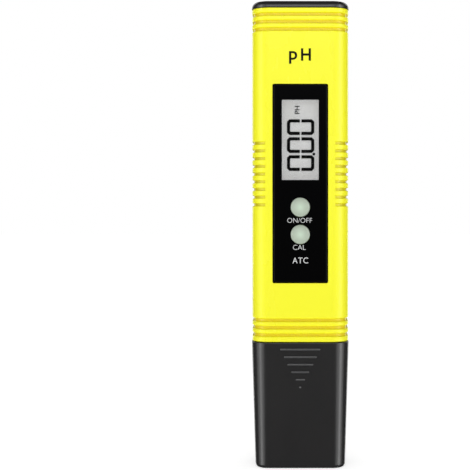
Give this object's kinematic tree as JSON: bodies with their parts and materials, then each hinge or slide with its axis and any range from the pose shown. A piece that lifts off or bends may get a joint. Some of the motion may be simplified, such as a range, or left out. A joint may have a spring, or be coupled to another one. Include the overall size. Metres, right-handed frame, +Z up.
{
  "type": "pocket ph test pen",
  "caption": "Slim pocket pH tester with a yellow two-part case, display, two push keys, battery cover and a black protective cap over its glass electrode.",
  "frame": {"origin": "centre of the protective cap's flat base, at floor level when the pen stands on its cap", "axes": "+Z up along the pen to the battery cover, -Y out of the display face, +X to the right of the display"},
  "size_m": [0.0324, 0.0225, 0.155],
  "materials": {
    "yellow_case": "satin moulded ABS, bright lemon yellow",
    "black_label": "printed film, black with pale grey lettering",
    "clear_window": "clear polished acrylic",
    "display_glass": "clear",
    "display_reflector": "pale grey film",
    "white_plastic": "moulded, unpainted",
    "key_silicone": "pale green translucent silicone",
    "switch_black": "moulded",
    "pink_elastomer": "soft striped strip",
    "board_green": "solder mask",
    "steel": "bright",
    "nickel_contact": "nickel-plated spring steel",
    "ceramic_chip": "fired ceramic",
    "black_plastic": "fine satin moulded ABS, black",
    "seal_rubber": "matt nitrile",
    "electrode_glass": "clear",
    "silver": "drawn silver wire",
    "porous_junction": "porous polymer",
    "resin": "cast epoxy",
    "gel": "cloudy gel",
    "lead_red": "insulated wire",
    "lead_black": "insulated wire",
    "lead_white": "insulated wire",
    "sponge": "open-cell sponge"
  },
  "bodies": {
    "protective_cap": {"protective_cap": "black_plastic", "storage_sponge": "sponge"},
    "pen": {"front_shell": "yellow_case", "rear_shell": "yellow_case", "face_label": "black_label", "display_window": "clear_window", "lcd_holder": "white_plastic", "lcd_front_polariser": "display_glass", "lcd_front_glass": "display_glass", "lcd_rear_glass": "display_glass", "lcd_reflector": "display_reflector", "zebra_strip_left": "pink_elastomer", "zebra_strip_right": "pink_elastomer", "circuit_board": "board_green", "board_screws": "steel", "controller_blob": "switch_black", "amplifier_chip": "switch_black", "crystal_can": "steel", "chip_parts": "ceramic_chip", "on_off_switch": "switch_black", "cal_switch": "switch_black", "battery_holder": "white_plastic", "battery_cell_front": "steel", "battery_cell_rear": "steel", "positive_contact": "nickel_contact", "negative_contact": "nickel_contact", "sensor_housing": "black_plastic", "cap_seal": "seal_rubber", "stem_seal": "seal_rubber", "electrode_stem": "electrode_glass", "glass_bulb": "electrode_glass", "stem_stopper": "white_plastic", "silver_wire": "silver", "temperature_probe": "steel", "thermistor_bead": "ceramic_chip", "reference_junction": "porous_junction", "reference_wire": "silver", "potting_plug": "resin", "electrolyte_gel": "gel", "battery_lead_red": "lead_red", "battery_lead_black": "lead_black", "electrode_lead": "lead_white", "reference_lead": "lead_white", "thermistor_leads": "lead_white"},
    "on_off_key": {"on_off_button": "key_silicone", "on_off_plunger": "switch_black"},
    "cal_key": {"cal_button": "key_silicone", "cal_plunger": "switch_black"},
    "battery_cover": {"battery_cover": "black_plastic", "cover_seal": "seal_rubber"}
  },
  "joints": [
    {"name": "pen_lift", "type": "slide", "parent": "protective_cap", "child": "pen", "axis": [0, 0, 1], "range_m": [0, 0.045]},
    {"name": "on_off_press", "type": "slide", "parent": "pen", "child": "on_off_key", "axis": [0, 1, 0], "range_m": [0, 0.0004], "stiffness_N_per_m": 2000},
    {"name": "cal_press", "type": "slide", "parent": "pen", "child": "cal_key", "axis": [0, 1, 0], "range_m": [0, 0.0004], "stiffness_N_per_m": 2000},
    {"name": "battery_cover_lift", "type": "slide", "parent": "pen", "child": "battery_cover", "axis": [0, 0, 1], "range_m": [0, 0.015]}
  ]
}
